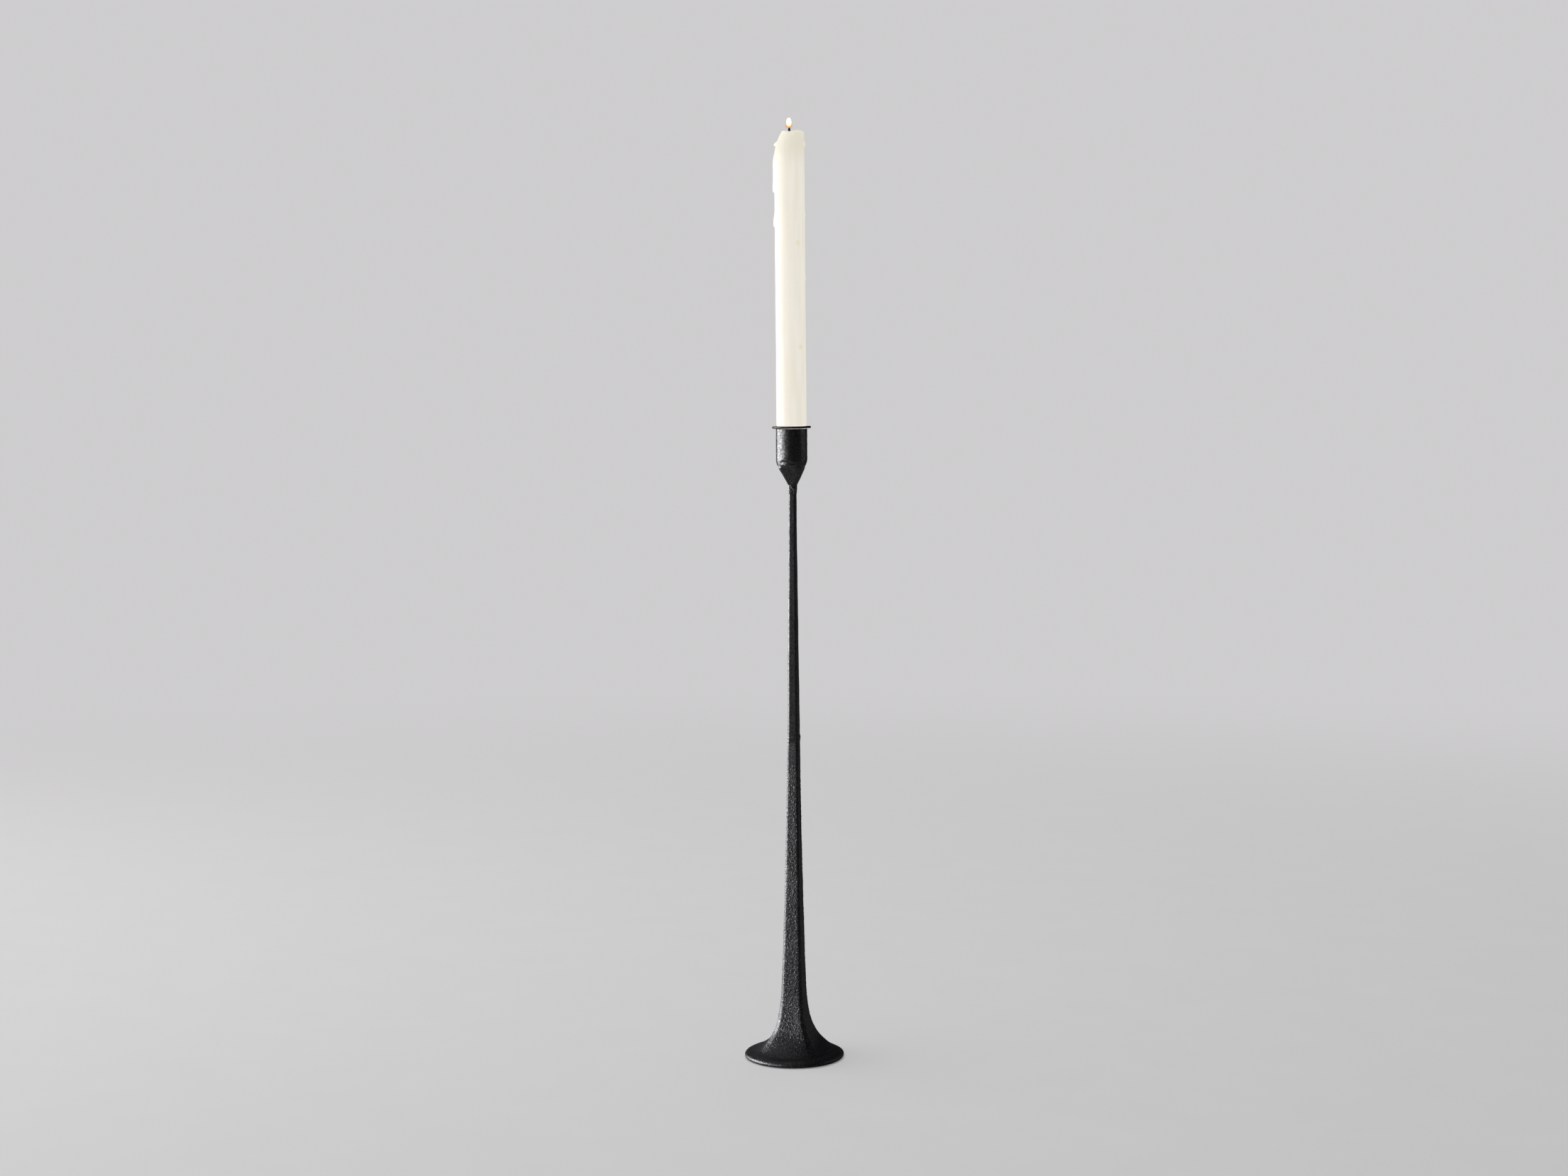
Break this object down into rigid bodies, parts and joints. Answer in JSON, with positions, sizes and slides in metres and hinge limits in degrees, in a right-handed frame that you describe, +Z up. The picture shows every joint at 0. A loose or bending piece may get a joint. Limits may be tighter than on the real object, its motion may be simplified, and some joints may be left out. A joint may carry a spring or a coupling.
{
  "type": "taper candle holder",
  "caption": "Tall black iron candlestick on a round flared foot, its square stem tapering up to a small cup that holds a lift-out lit dinner candle.",
  "frame": {"origin": "centre of the felt pad's underside, on the table", "axes": "+Z up along the stem, -Y to the front, +X to the viewer's right"},
  "size_m": [0.077, 0.077, 0.714],
  "materials": {
    "cast_iron": "pebbled sand-cast skin, blackened and waxed",
    "forged_iron": "hammered, blackened and waxed, satin",
    "wax": "ivory candle wax, satin",
    "cotton": "plaited cotton wick, charred",
    "felt": "black felt"
  },
  "bodies": {
    "holder": {"felt_pad": "felt", "cast_foot": "cast_iron", "upper_stem": "forged_iron", "stem_weld": "forged_iron", "neck_weld": "forged_iron", "candle_cup": "forged_iron", "cup_rim": "forged_iron"},
    "candle": {"candle_wax": "wax", "wick": "cotton"}
  },
  "joints": [
    {"name": "candle_lift", "type": "slide", "parent": "holder", "child": "candle", "axis": [0, 0, 1], "range_m": [0, 0.04]}
  ]
}
